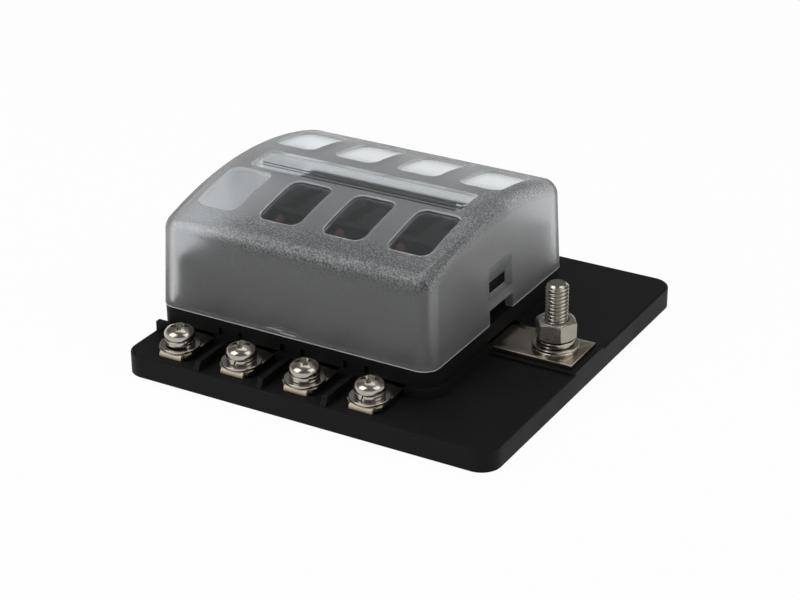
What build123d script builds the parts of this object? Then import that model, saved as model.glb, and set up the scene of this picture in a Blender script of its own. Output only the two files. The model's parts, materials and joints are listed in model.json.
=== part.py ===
"""Eight-way blade fuse box with a frosted lift-off cover, an M6 input stud and eight screw terminals.

The frame stands on the underside of the base plate, with its origin at the middle of the plate.
X runs along the plate towards the input stud, Y runs from the front terminals to the rear ones.
"""
import os
from math import radians, sqrt, tan

from build123d import *

os.makedirs("parts", exist_ok=True)

# Base plate
input_shelf = 25.1
terminal_shelf = 16.4
plate_height = 5.9
plate_corner = 5.3
plate_edge_round = 0.6
plate_skin = 2.0
plate_rim = 2.4
rib_thickness = 1.5
rib_pitch = 26.0

# Cover
cover_end_land = 12.41
cover_width = 74.0
cover_left_gap = 0.1
cover_foot = 12.6
cover_crown = 43.0
cover_arch_radius = 104.0
cover_wall = 2.2
cover_draft = 2.2
cover_round = 4.4
pane_depth = 0.4
pane_length = 12.2
pane_width = 18.9
pane_offset = 18.65
pane_corner = 2.8
long_pane_length = 62.4
long_pane_width = 7.8
long_pane_corner = 1.6
long_pane_depth = 0.8

# Latch at each end of the cover
latch_width = 12.6
latch_open_top = 16.7
latch_bar_top = 19.4
latch_slot_top = 22.3
latch_ramp_top = 28.5
tongue_width = 9.6
tongue_thickness = 1.6
tongue_slit = 1.0
tongue_well = 2.0
nose_height = 2.0
nose_root = 0.4
latch_clearance = 0.15

# Fuse block: the upper moulding under the cover
ledge_height = 8.2
ledge_out = 1.7
skirt_inset = 0.2
foot_clearance = 0.1
skirt_wall = 2.0
block_inset = 3.3
block_wall = 1.8
deck_top = 25.4
deck_thickness = 1.8
deck_round = 0.6
moulding_wall = 1.2
hold_down_inset = 1.0
edge_margin = 1.0

# Fuse columns
column_count = 4
column_pitch = 18.66
columns_shift = 0.34
fuse_offset = 16.3
well_thickness = 4.2
well_length = 19.6
well_depth = 5.0
blade_pitch = 14.2
blade_slot_length = 6.0
blade_slot_width = 1.3

# Pockets between the columns, with the mounting holes under the outer ones
pocket_length = 7.4
pocket_width = 12.0
pocket_offset = 20.0
pocket_foot = 1.2
mounting_hole_radius = 2.25
mounting_boss_radius = 5.0

# Indicator channel, board and lamps
channel_width = 7.8
channel_end = 8.0
channel_floor_top = 21.5
lamp_offset = 2.3
lamp_radius = 1.5
lamp_height = 5.3
lamp_flange_radius = 1.9
lamp_flange_height = 1.0
lamp_leg = 0.5
lamp_leg_pitch = 2.54
lamp_hole_clearance = 0.15
board_thickness = 1.6
board_half_width = 26.4
board_end = 6.0
board_clearance = 0.3
resistor_length = 3.2
resistor_width = 1.6
resistor_height = 0.6

# Stamped metal
sheet = 1.2
strip_top = 7.6
strip_width = 9.8
strip_front = 4.0
strip_corner = 0.8
tab_width = 6.5
tab_front = 2.8
tab_foot = 6.0
tab_bend = 0.2
collar_radius = 2.9
collar_height = 1.1
slot_clearance = 0.2
jaw_width = 5.0
jaw_leaf = 0.8
jaw_seat_half = 1.8
jaw_shoulder = 12.5
jaw_pinch = 16.4
jaw_pinch_half = 0.66
jaw_mouth_half = 1.3
jaw_top = 18.2
jaw_end_land = 0.8
bar_width = 14.5
bar_overrun = 7.8
bus_column_land = 5.5

# Terminal screws, M4 with captive washers
screw_inset = 7.6
thread_radius = 1.95
tapped_radius = 2.0
screw_length = 8.0
screw_tip = 0.5
head_radius = 4.0
head_height = 3.0
head_side = 1.2
head_shoulder = 1.2
recess_length = 4.6
recess_width = 0.9
recess_depth = 1.7
flat_washer_radius = 5.2
flat_washer_thickness = 0.8
lock_washer_radius = 3.7
lock_washer_thickness = 1.1
lock_washer_slit = 0.5
washer_bore = 2.15
screw_pit_radius = 3.3
screw_pit_floor = 1.0
screw_boss_radius = 4.6

# Input stud, M6
stud_inset = 9.6
stud_radius = 2.95
stud_top = 25.7
stud_chamfer = 0.8
stud_head_radius = 5.0
stud_head_height = 2.0
stud_bore = 3.0
stud_boss_radius = 6.8
nut_across_flats = 10.0
nut_height = 5.0
nut_turn = 9.0
nut_bore = 3.0
nut_land = 0.3
nut_cone_reach = 1.25
nut_cone_angle = 30.0
stud_washer_radius = 6.0
stud_washer_thickness = 1.6
stud_lock_radius = 4.95
stud_lock_thickness = 1.6
stud_washer_bore = 3.2

# Stud pad, dividers and small notches
pad_width = 17.9
pad_chamfer = 0.8
divider_thickness = 1.5
divider_toe = 0.5
divider_slope = 1.5
notch_offset = 6.3
notch_width = 1.2
notch_height = 2.1
notch_depth = 1.0

# Screws that hold the fuse block to the base plate
block_screw_offset = 29.6
block_screw_radius = 1.4
block_screw_length = 11.6
block_screw_head_radius = 2.8
block_screw_head_height = 2.2
block_screw_recess = 2.4
block_screw_clearance = 0.3
pilot_clearance = 0.05
post_radius = 2.75
screw_bearing_radius = 4.2

# Values that follow from the sizes above
cover_length = (column_count - 1) * column_pitch + 2 * cover_end_land
plate_length = cover_left_gap + cover_length + input_shelf
plate_width = cover_width + 2 * terminal_shelf
left_edge = -plate_length / 2
right_edge = plate_length / 2
front_edge = -plate_width / 2
housing_x = left_edge + cover_left_gap + cover_length / 2
stud_x = right_edge - stud_inset
bar_end = stud_x + bar_overrun
columns_x = housing_x + columns_shift
column_x = [columns_x + (i - (column_count - 1) / 2) * column_pitch for i in range(column_count)]
gap_x = [(a + b) / 2 for a, b in zip(column_x, column_x[1:])]
skirt_length = cover_length - 2 * skirt_inset
skirt_width = cover_width - 2 * skirt_inset
strip_bottom = strip_top - sheet
pocket_bottom = strip_bottom - pocket_foot
ledge_right = housing_x + skirt_length / 2 + ledge_out
ledge_width = skirt_width + 2 * ledge_out
well_floor_top = deck_top - well_depth
inner_blade_y = fuse_offset - blade_pitch / 2
outer_blade_y = fuse_offset + blade_pitch / 2
strip_inner_end = outer_blade_y - jaw_width / 2 - jaw_end_land
strip_neck = pocket_offset + pocket_width / 2 + moulding_wall + slot_clearance
strip_inner_width = column_pitch - pocket_length - 2 * (moulding_wall + slot_clearance)
bus_half_width = inner_blade_y + jaw_width / 2 + jaw_end_land
board_top = strip_top + board_thickness
way_out = 4 * (skirt_wall + ledge_out)
foot_length = cover_round - skirt_inset
screw_y = front_edge + screw_inset
head_seat = strip_top + flat_washer_thickness + lock_washer_thickness
sides = {"front": 1, "rear": -1}


def draft_shrink(z):
    """How far a drafted wall has moved in at height z."""
    return (z - cover_foot) * tan(radians(cover_draft))


def housing_slab(inset, bottom, top):
    """Rectangular block inside the cover's outline, with the cover's draft on its walls."""
    with BuildPart() as slab:
        with BuildSketch(Plane((housing_x, 0, bottom))):
            Rectangle(
                cover_length - 2 * (inset + draft_shrink(bottom)),
                cover_width - 2 * (inset + draft_shrink(bottom)),
            )
        extrude(amount=top - bottom, taper=cover_draft)
    return slab.part


def arch_body(lowering):
    """Everything under the cover's arch, lowered along its radius."""
    radius = cover_arch_radius - lowering
    crown = cover_crown - lowering
    half = cover_width / 2 + cover_wall
    spring = crown - radius + sqrt(radius**2 - half**2)
    with BuildPart() as arch:
        with BuildSketch(Plane.YZ.offset(housing_x - cover_length)):
            with BuildLine():
                ThreePointArc((-half, spring), (0, crown), (half, spring))
                Polyline((half, spring), (half, 0), (-half, 0), (-half, spring))
            make_face()
        extrude(amount=2 * cover_length)
    return arch.part


def hood(inset, bottom):
    """The cover's outer form, moved in by one wall."""
    with BuildPart() as form:
        add(housing_slab(inset, bottom, cover_crown + cover_wall))
        add(arch_body(inset), mode=Mode.INTERSECT)
        upper = form.edges().filter_by(lambda e: e.center().Z > bottom + edge_margin)
        fillet(upper, radius=cover_round - inset)
    return form.part


def pane_recess(length, width, corner, depth, centres):
    """Shallow recesses in the arch, upright in plan."""
    with BuildPart() as recess:
        with BuildSketch(Plane.XY.offset(cover_foot)):
            with Locations(*centres):
                RectangleRounded(length, width, corner)
        extrude(amount=cover_crown)
        add(arch_body(depth), mode=Mode.SUBTRACT)
    return recess.part


def end_cut(x_face, direction, bottom, top, length):
    """Prism through one end wall of the cover, as wide as the latch."""
    with BuildPart() as cut:
        with BuildSketch(Plane((x_face, 0, (bottom + top) / 2), x_dir=(0, 1, 0), z_dir=(direction, 0, 0))):
            Rectangle(latch_width, top - bottom)
        extrude(amount=length, both=True)
    return cut.part


def latch_ramp(direction):
    """Lead-in on the outside of the end wall, fading out upwards."""
    foot_x = cover_length / 2 - draft_shrink(latch_slot_top) - cover_wall
    head_x = cover_length / 2 - draft_shrink(latch_ramp_top)
    with BuildPart() as ramp:
        with BuildSketch(Plane.XZ.offset(-latch_width / 2)):
            with BuildLine():
                Polyline(
                    (housing_x + direction * foot_x, latch_slot_top),
                    (housing_x + direction * head_x, latch_ramp_top),
                    (housing_x + direction * (head_x + cover_wall), latch_ramp_top),
                    (housing_x + direction * (head_x + cover_wall), latch_slot_top),
                    close=True,
                )
            make_face()
        extrude(amount=latch_width)
    return ramp.part


with BuildPart() as cover:
    add(hood(0, cover_foot))
    add(hood(cover_wall, cover_foot - 1), mode=Mode.SUBTRACT)
    pane_centres = [(x, side * pane_offset) for x in column_x for side in (-1, 1)]
    add(pane_recess(pane_length, pane_width, pane_corner, pane_depth, pane_centres), mode=Mode.SUBTRACT)
    long_pane = pane_recess(
        long_pane_length, long_pane_width, long_pane_corner, long_pane_depth, [(columns_x, 0)]
    )
    add(long_pane, mode=Mode.SUBTRACT)
    for end in (-1, 1):
        wall_x = housing_x + end * cover_length / 2
        add(end_cut(wall_x, end, cover_foot - 1, latch_open_top, 2 * cover_wall), mode=Mode.SUBTRACT)
        add(end_cut(wall_x, end, latch_bar_top, latch_slot_top, 2 * cover_wall), mode=Mode.SUBTRACT)
        add(latch_ramp(end), mode=Mode.SUBTRACT)
cover.part.label = "cover"
export_step(cover.part, "parts/cover.step")


with BuildPart() as fuse_block:
    # Skirt on the ledge, and the drafted block above it
    with BuildSketch(Plane((housing_x, 0, ledge_height))):
        RectangleRounded(skirt_length, skirt_width, cover_round - skirt_inset)
    extrude(amount=cover_foot - ledge_height)
    add(housing_slab(block_inset, cover_foot, deck_top))
    upright = fuse_block.edges().filter_by(
        lambda e: e.center().Z > cover_foot + edge_margin and e.center().Z < deck_top - edge_margin
    )
    fillet(upright, radius=cover_round - cover_wall)
    rim = fuse_block.edges().group_by(Axis.Z)[-1]
    fillet(rim, radius=deck_round)
    # Hollow from below
    with BuildSketch(Plane((housing_x, 0, ledge_height))):
        RectangleRounded(
            skirt_length - 2 * skirt_wall, skirt_width - 2 * skirt_wall, cover_round - cover_wall
        )
    extrude(amount=cover_foot - block_wall - ledge_height, mode=Mode.SUBTRACT)
    hollow = housing_slab(block_inset + block_wall, cover_foot - block_wall, deck_top - deck_thickness)
    add(hollow, mode=Mode.SUBTRACT)
    # Foot of the skirt at its open end, which goes down between the ends of the ledge
    with BuildSketch(Plane((housing_x, 0, plate_height))):
        RectangleRounded(skirt_length, skirt_width, cover_round - skirt_inset)
        RectangleRounded(
            skirt_length - 2 * skirt_wall,
            skirt_width - 2 * skirt_wall,
            cover_round - cover_wall,
            mode=Mode.SUBTRACT,
        )
        with Locations((foot_length, 0)):
            Rectangle(skirt_length, skirt_width, mode=Mode.SUBTRACT)
    extrude(amount=ledge_height - plate_height)
    # Walls that hang from the deck
    with BuildSketch(Plane.XY.offset(deck_top - deck_thickness / 2)):
        for side in (-1, 1):
            with Locations(*[(x, side * fuse_offset) for x in column_x]):
                Rectangle(well_thickness + 2 * moulding_wall, well_length + 2 * moulding_wall)
    extrude(amount=well_floor_top - moulding_wall - deck_top + deck_thickness / 2)
    with BuildSketch(Plane.XY.offset(deck_top - deck_thickness / 2)):
        with Locations((columns_x, 0)):
            Rectangle(
                column_x[-1] - column_x[0] + 2 * (channel_end + moulding_wall),
                channel_width + 2 * moulding_wall,
            )
    extrude(amount=channel_floor_top - moulding_wall - deck_top + deck_thickness / 2)
    with BuildSketch(Plane.XY.offset(pocket_bottom)):
        for side in (-1, 1):
            with Locations(*[(x, side * pocket_offset) for x in gap_x]):
                Rectangle(pocket_length + 2 * moulding_wall, pocket_width + 2 * moulding_wall)
    extrude(amount=deck_top - deck_thickness / 2 - pocket_bottom)
    with BuildSketch(Plane.XY.offset(strip_bottom)):
        for side in (-1, 1):
            with Locations(*[(x, side * block_screw_offset) for x in (gap_x[0], gap_x[-1])]):
                Circle(post_radius)
    extrude(amount=cover_foot - block_wall / 2 - strip_bottom)
    # Ribs that hold the strips and the bar down
    with BuildSketch(Plane.XY.offset(strip_top)):
        for side in (-1, 1):
            with Locations(*[(x, side * (skirt_width / 2 - skirt_wall)) for x in column_x]):
                Rectangle(strip_width - 2 * hold_down_inset, block_wall)
        with Locations((housing_x + skirt_length / 2 - skirt_wall, 0)):
            Rectangle(block_wall, bar_width - 2 * hold_down_inset)
    extrude(amount=cover_foot - block_wall / 2 - strip_top)
    # Wells, pockets and channel from above
    with BuildSketch(Plane.XY.offset(deck_top)):
        for side in (-1, 1):
            with Locations(*[(x, side * fuse_offset) for x in column_x]):
                Rectangle(well_thickness, well_length)
    extrude(amount=-well_depth, mode=Mode.SUBTRACT)
    with BuildSketch(Plane.XY.offset(deck_top)):
        for side in (-1, 1):
            with Locations(*[(x, side * pocket_offset) for x in gap_x]):
                Rectangle(pocket_length, pocket_width)
    extrude(amount=strip_bottom - deck_top, mode=Mode.SUBTRACT)
    with BuildSketch(Plane.XY.offset(strip_bottom)):
        for side in (-1, 1):
            with Locations(*[(x, side * pocket_offset) for x in (gap_x[0], gap_x[-1])]):
                Circle(mounting_hole_radius)
    extrude(amount=-pocket_foot, mode=Mode.SUBTRACT)
    with BuildSketch(Plane.XY.offset(deck_top)):
        with Locations((columns_x, 0)):
            Rectangle(column_x[-1] - column_x[0] + 2 * channel_end, channel_width)
    extrude(amount=channel_floor_top - deck_top, mode=Mode.SUBTRACT)
    # Slots for the fuse blades and holes for the lamps
    with BuildSketch(Plane.XY.offset(well_floor_top)):
        for y in (inner_blade_y, outer_blade_y, -inner_blade_y, -outer_blade_y):
            with Locations(*[(x, y) for x in column_x]):
                Rectangle(blade_slot_width, blade_slot_length)
    extrude(amount=-2 * moulding_wall, mode=Mode.SUBTRACT)
    with BuildSketch(Plane.XY.offset(channel_floor_top)):
        for side in (-1, 1):
            with Locations(*[(x, side * lamp_offset) for x in column_x]):
                Circle(lamp_radius + lamp_hole_clearance)
    extrude(amount=-moulding_wall, mode=Mode.SUBTRACT)
    # Pilot holes for the screws from the base plate
    with BuildSketch(Plane.XY.offset(strip_bottom)):
        for side in (-1, 1):
            with Locations(*[(x, side * block_screw_offset) for x in (gap_x[0], gap_x[-1])]):
                Circle(block_screw_radius + pilot_clearance)
    extrude(amount=block_screw_length, mode=Mode.SUBTRACT)
    # Spring tongue with its catch nose at each end
    for end in (-1, 1):
        face_x = housing_x + end * (cover_length / 2 - block_inset - draft_shrink(cover_foot))
        well_x = face_x - end * (tongue_thickness + tongue_well / 2 + draft_shrink(deck_top))
        with BuildSketch(Plane((well_x, 0, deck_top))):
            Rectangle(tongue_well, tongue_width + 2 * tongue_slit)
        extrude(amount=cover_foot + block_wall - deck_top, mode=Mode.SUBTRACT)
        with BuildSketch(Plane((face_x, 0, deck_top))):
            with Locations((0, (tongue_width + tongue_slit) / 2), (0, -(tongue_width + tongue_slit) / 2)):
                Rectangle(2 * (tongue_thickness + tongue_well), tongue_slit)
        extrude(amount=cover_foot + block_wall - deck_top, mode=Mode.SUBTRACT)
        nose_foot = housing_x + end * (
            cover_length / 2 - block_inset - draft_shrink(latch_bar_top) - nose_root
        )
        nose_tip = housing_x + end * (
            cover_length / 2 - cover_wall - draft_shrink(latch_slot_top) - latch_clearance
        )
        with BuildSketch(Plane.XZ.offset(-tongue_width / 2)):
            with BuildLine():
                Polyline(
                    (nose_foot, latch_bar_top + latch_clearance),
                    (nose_tip, latch_bar_top + latch_clearance),
                    (nose_tip, latch_bar_top + latch_clearance + nose_height / 2),
                    (nose_foot, latch_bar_top + latch_clearance + nose_height),
                    close=True,
                )
            make_face()
        extrude(amount=tongue_width)
    # Small notches in the foot of the skirt beside each strip
    with BuildSketch(Plane.XY.offset(ledge_height)):
        for side in (-1, 1):
            for x in column_x[:-1]:
                with Locations((x + notch_offset, side * skirt_width / 2)):
                    Rectangle(notch_width, 2 * notch_depth)
            for x in column_x[1:]:
                with Locations((x - notch_offset, side * skirt_width / 2)):
                    Rectangle(notch_width, 2 * notch_depth)
    extrude(amount=notch_height, mode=Mode.SUBTRACT)
fuse_block.part.label = "fuse_block"
export_step(fuse_block.part, "parts/fuse_block.step")


with BuildPart() as base_plate:
    with BuildSketch():
        RectangleRounded(plate_length, plate_width, plate_corner)
    extrude(amount=plate_height)
    fillet(base_plate.edges().group_by(Axis.Z)[-1], radius=plate_edge_round)
    # Ledge round the fuse block, flush with the plate's left side
    with BuildSketch(Plane.XY.offset(plate_skin)) as ledge_outline:
        with Locations(((left_edge + ledge_right) / 2, 0)):
            Rectangle(ledge_right - left_edge, ledge_width)
        fillet(ledge_outline.vertices().group_by(Axis.X)[-1], radius=cover_round - skirt_inset + ledge_out)
    extrude(amount=ledge_height - plate_skin)
    # The ledge is open along the plate's left side, for the foot of the fuse block
    foot_seat = cover_left_gap + skirt_inset + foot_length + foot_clearance
    with BuildSketch(Plane((left_edge + foot_seat / 2, 0, plate_height))):
        Rectangle(foot_seat, skirt_width + 2 * foot_clearance)
    extrude(amount=ledge_height - plate_height, mode=Mode.SUBTRACT)
    # Pad under the input bar
    with BuildSketch(Plane.XY.offset(plate_skin)) as pad_outline:
        with Locations(((ledge_right + right_edge) / 2 - ledge_out, 0)):
            Rectangle(right_edge - ledge_right + 2 * ledge_out, pad_width)
        chamfer(pad_outline.vertices().group_by(Axis.X)[-1], pad_chamfer)
    extrude(amount=strip_bottom - plate_skin)
    # Dividers between the terminals, with sloping front ends
    for x in gap_x:
        for side in (1, -1):
            toe = side * (front_edge + divider_toe)
            heel = side * -(ledge_width / 2 - ledge_out)
            with BuildSketch(Plane.YZ.offset(x - divider_thickness / 2)):
                with BuildLine():
                    Polyline(
                        (toe, plate_skin),
                        (toe, plate_height - plate_edge_round),
                        (toe + side * divider_slope, ledge_height),
                        (heel, ledge_height),
                        (heel, plate_skin),
                        close=True,
                    )
                make_face()
            extrude(amount=divider_thickness)
    # Well for the live metal inside the ledge, and its ways out
    with BuildSketch(Plane((housing_x, 0, ledge_height))):
        RectangleRounded(
            skirt_length - 2 * skirt_wall, skirt_width - 2 * skirt_wall, cover_round - cover_wall
        )
        for side in (-1, 1):
            with Locations(*[(x - housing_x, side * ledge_width / 2) for x in column_x]):
                Rectangle(strip_width + 2 * slot_clearance, way_out)
        with Locations((ledge_right - housing_x, 0)):
            Rectangle(way_out, bar_width + 2 * slot_clearance)
    extrude(amount=strip_bottom - ledge_height, mode=Mode.SUBTRACT)
    # Seats for the feet of the pockets
    with BuildSketch(Plane.XY.offset(strip_bottom)):
        for side in (-1, 1):
            with Locations(*[(x, side * pocket_offset) for x in gap_x]):
                Rectangle(
                    pocket_length + 2 * (moulding_wall + slot_clearance),
                    pocket_width + 2 * (moulding_wall + slot_clearance),
                )
    extrude(amount=-pocket_foot, mode=Mode.SUBTRACT)
    # Hollow underside with ribs and bosses
    with BuildSketch():
        RectangleRounded(
            plate_length - 2 * plate_rim, plate_width - 2 * plate_rim, plate_corner - plate_rim
        )
        for i in (-1, 0, 1):
            with Locations((i * rib_pitch, 0)):
                Rectangle(rib_thickness, plate_width, mode=Mode.SUBTRACT)
            with Locations((0, i * rib_pitch)):
                Rectangle(plate_length, rib_thickness, mode=Mode.SUBTRACT)
        for side in (-1, 1):
            with Locations(*[(x, side * screw_y) for x in column_x]):
                Circle(screw_boss_radius, mode=Mode.SUBTRACT)
            with Locations(*[(x, side * pocket_offset) for x in (gap_x[0], gap_x[-1])]):
                Circle(mounting_boss_radius, mode=Mode.SUBTRACT)
            with Locations(*[(x, side * block_screw_offset) for x in (gap_x[0], gap_x[-1])]):
                Circle(screw_bearing_radius, mode=Mode.SUBTRACT)
        with Locations((stud_x, 0)):
            Circle(stud_boss_radius, mode=Mode.SUBTRACT)
    extrude(amount=plate_height - plate_skin, mode=Mode.SUBTRACT)
    # Pits under the terminal screws and under the stud's head
    with BuildSketch(Plane.XY.offset(ledge_height)):
        for side in (-1, 1):
            with Locations(*[(x, side * screw_y) for x in column_x]):
                Circle(screw_pit_radius)
    extrude(amount=screw_pit_floor - ledge_height, mode=Mode.SUBTRACT)
    with BuildSketch(Plane.XY.offset(strip_bottom)):
        with Locations((stud_x, 0)):
            Circle(stud_head_radius + slot_clearance)
    extrude(amount=-stud_head_height - slot_clearance, mode=Mode.SUBTRACT)
    # Mounting holes, and the holes for the screws into the fuse block
    for side in (-1, 1):
        for x in (gap_x[0], gap_x[-1]):
            with Locations((x, side * pocket_offset, 0)):
                Hole(mounting_hole_radius)
            with Locations(Location((x, side * block_screw_offset, 0), (180, 0, 0))):
                CounterBoreHole(
                    block_screw_radius + block_screw_clearance,
                    block_screw_head_radius + block_screw_clearance,
                    block_screw_recess,
                )
base_plate.part.label = "base_plate"
export_step(base_plate.part, "parts/base_plate.step")


def spring_jaws(centres):
    """Pairs of spring leaves that grip a fuse blade, standing on the stamped sheet."""
    spine = [
        (jaw_seat_half, strip_top - sheet / 2),
        (jaw_seat_half, jaw_shoulder),
        (jaw_pinch_half, jaw_pinch),
        (jaw_mouth_half, jaw_top),
    ]
    outer = [(x + jaw_leaf / 2, z) for x, z in spine]
    inner = [(x - jaw_leaf / 2, z) for x, z in reversed(spine)]
    with BuildPart() as jaws:
        for x, y in centres:
            with BuildSketch(Plane((x, y + jaw_width / 2, 0), x_dir=(1, 0, 0), z_dir=(0, -1, 0))):
                with BuildLine():
                    Polyline(*outer, *inner, close=True)
                make_face()
                mirror(about=Plane.YZ)
            extrude(amount=jaw_width)
    return jaws.part


with BuildPart() as bus_bar:
    with BuildSketch(Plane.XY.offset(strip_bottom)):
        with Locations((columns_x, 0)):
            Rectangle(column_x[-1] - column_x[0] + 2 * bus_column_land, 2 * bus_half_width)
        with Locations(((columns_x + bar_end) / 2, 0)):
            Rectangle(bar_end - columns_x, bar_width)
        with Locations((stud_x, 0)):
            Circle(stud_bore, mode=Mode.SUBTRACT)
    extrude(amount=sheet)
    add(spring_jaws([(x, side * inner_blade_y) for x in column_x for side in (-1, 1)]))
bus_bar.part.label = "bus_bar"
export_step(bus_bar.part, "parts/bus_bar.step")


def terminal_strip(x):
    """Outgoing strip of the front row: screw end with its bent tab, and the jaw for the outer blade."""
    start = front_edge + strip_front
    bend = sheet + tab_bend
    with BuildPart() as strip:
        with BuildSketch(Plane.XY.offset(strip_bottom)) as outline:
            with Locations((x, (start - strip_neck) / 2)):
                Rectangle(strip_width, -strip_neck - start)
            chamfer(outline.vertices().group_by(Axis.Y)[0], strip_corner)
            with Locations((x, (start - strip_inner_end) / 2)):
                Rectangle(strip_inner_width, -strip_inner_end - start - 2 * strip_corner)
            with Locations((x, screw_y)):
                Circle(tapped_radius, mode=Mode.SUBTRACT)
        extrude(amount=sheet)
        # Tapped collar drawn down from the strip
        with BuildSketch(Plane.XY.offset(strip_bottom)):
            with Locations((x, screw_y)):
                Circle(collar_radius)
                Circle(tapped_radius, mode=Mode.SUBTRACT)
        extrude(amount=-collar_height)
        # Tab bent down over the front
        lip = front_edge + tab_front
        with BuildSketch(Plane.YZ.offset(x - tab_width / 2)):
            with BuildLine():
                Line((start + bend, strip_bottom), (start + bend, strip_top))
                Line((start + bend, strip_top), (lip + bend, strip_top))
                RadiusArc((lip + bend, strip_top), (lip, strip_top - bend), -bend)
                Line((lip, strip_top - bend), (lip, tab_foot))
                Line((lip, tab_foot), (lip + sheet, tab_foot))
                Line((lip + sheet, tab_foot), (lip + sheet, strip_bottom))
                Line((lip + sheet, strip_bottom), (start + bend, strip_bottom))
            make_face()
        extrude(amount=tab_width)
        add(spring_jaws([(x, -outer_blade_y)]))
    return strip.part


def flat_ring(x, y, bottom, thickness, outer, bore):
    """Plain washer."""
    with BuildPart() as ring:
        with BuildSketch(Plane((x, y, bottom))):
            Circle(outer)
            Circle(bore, mode=Mode.SUBTRACT)
        extrude(amount=thickness)
    return ring.part


def split_ring(x, y, bottom, thickness, outer, bore, slit):
    """Spring lock washer, pressed flat, with its slanting slit."""
    with BuildPart() as ring:
        add(flat_ring(x, y, bottom, thickness, outer, bore))
        with BuildSketch(Plane((x, y, bottom + thickness / 2), x_dir=(1, 0, 0), z_dir=(0, -1, 0))):
            with BuildLine():
                Polyline(
                    (-slit, -thickness),
                    (0, -thickness),
                    (slit, thickness),
                    (0, thickness),
                    close=True,
                )
            make_face()
        extrude(amount=2 * outer, mode=Mode.SUBTRACT)
    return ring.part


def pan_head_screw(x, y):
    """M4 pan head screw with a cross recess, seated on its washers."""
    with BuildPart() as screw:
        with BuildSketch(Plane((x, y, 0), x_dir=(1, 0, 0), z_dir=(0, -1, 0))):
            with BuildLine():
                side = Polyline(
                    (0, head_seat + head_height),
                    (0, head_seat - screw_length),
                    (thread_radius - screw_tip, head_seat - screw_length),
                    (thread_radius, head_seat - screw_length + screw_tip),
                    (thread_radius, head_seat),
                    (head_radius, head_seat),
                    (head_radius, head_seat + head_side),
                )
                shoulder_arc = RadiusArc(
                    side @ 1,
                    (head_radius - head_shoulder, head_seat + head_side + head_shoulder),
                    -head_shoulder,
                )
                crown_height = head_height - head_side - head_shoulder
                crown_half = head_radius - head_shoulder
                crown_sphere = (crown_half**2 + crown_height**2) / (2 * crown_height)
                RadiusArc(shoulder_arc @ 1, side @ 0, -crown_sphere)
            make_face()
        revolve(axis=Axis((x, y, 0), (0, 0, 1)))
        with BuildSketch(Plane((x, y, head_seat + head_height))):
            Rectangle(recess_length, recess_width)
            Rectangle(recess_width, recess_length)
        extrude(amount=-recess_depth, mode=Mode.SUBTRACT)
    return screw.part


for side_name, side in sides.items():
    for i, x in enumerate(column_x, start=1):
        y = side * screw_y
        strip = terminal_strip(x)
        pieces = {
            "terminal": strip if side == 1 else mirror(strip, about=Plane.XZ),
            "flat_washer": flat_ring(
                x, y, strip_top, flat_washer_thickness, flat_washer_radius, washer_bore
            ),
            "lock_washer": split_ring(
                x,
                y,
                strip_top + flat_washer_thickness,
                lock_washer_thickness,
                lock_washer_radius,
                washer_bore,
                lock_washer_slit,
            ),
            "terminal_screw": pan_head_screw(x, y),
        }
        for piece_name, piece in pieces.items():
            label = f"{piece_name}_{side_name}_{i}"
            piece.label = label
            export_step(piece, f"parts/{label}.step")


stud_washer_top = strip_top + stud_washer_thickness
nut_seat = stud_washer_top + stud_lock_thickness

with BuildPart() as input_stud:
    with BuildSketch(Plane.XZ):
        with BuildLine():
            Polyline(
                (stud_x, strip_bottom - stud_head_height),
                (stud_x + stud_head_radius, strip_bottom - stud_head_height),
                (stud_x + stud_head_radius, strip_bottom),
                (stud_x + stud_radius, strip_bottom),
                (stud_x + stud_radius, stud_top - stud_chamfer),
                (stud_x + stud_radius - stud_chamfer, stud_top),
                (stud_x, stud_top),
                close=True,
            )
        make_face()
    revolve(axis=Axis((stud_x, 0, 0), (0, 0, 1)))
input_stud.part.label = "input_stud"
export_step(input_stud.part, "parts/input_stud.step")

input_washer = flat_ring(stud_x, 0, strip_top, stud_washer_thickness, stud_washer_radius, stud_washer_bore)
input_washer.label = "input_flat_washer"
export_step(input_washer, "parts/input_flat_washer.step")

input_lock = split_ring(
    stud_x, 0, stud_washer_top, stud_lock_thickness, stud_lock_radius, stud_washer_bore, lock_washer_slit
)
input_lock.label = "input_lock_washer"
export_step(input_lock, "parts/input_lock_washer.step")

with BuildPart() as input_nut:
    with BuildSketch(Plane((stud_x, 0, nut_seat))):
        RegularPolygon(nut_across_flats / 2, 6, major_radius=False, rotation=nut_turn)
    extrude(amount=nut_height)
    # Both faces chamfered by one cone
    crown = nut_across_flats / 2 - nut_land
    skirt = nut_across_flats / 2 + nut_cone_reach
    drop = (nut_cone_reach + nut_land) * tan(radians(nut_cone_angle))
    with BuildSketch(Plane.XZ):
        with BuildLine():
            Polyline(
                (stud_x, nut_seat),
                (stud_x + crown, nut_seat),
                (stud_x + skirt, nut_seat + drop),
                (stud_x + skirt, nut_seat + nut_height - drop),
                (stud_x + crown, nut_seat + nut_height),
                (stud_x, nut_seat + nut_height),
                close=True,
            )
        make_face()
    revolve(axis=Axis((stud_x, 0, 0), (0, 0, 1)), mode=Mode.INTERSECT)
    with Locations((stud_x, 0, nut_seat + nut_height)):
        Hole(nut_bore)
input_nut.part.label = "input_nut"
export_step(input_nut.part, "parts/input_nut.step")


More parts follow.
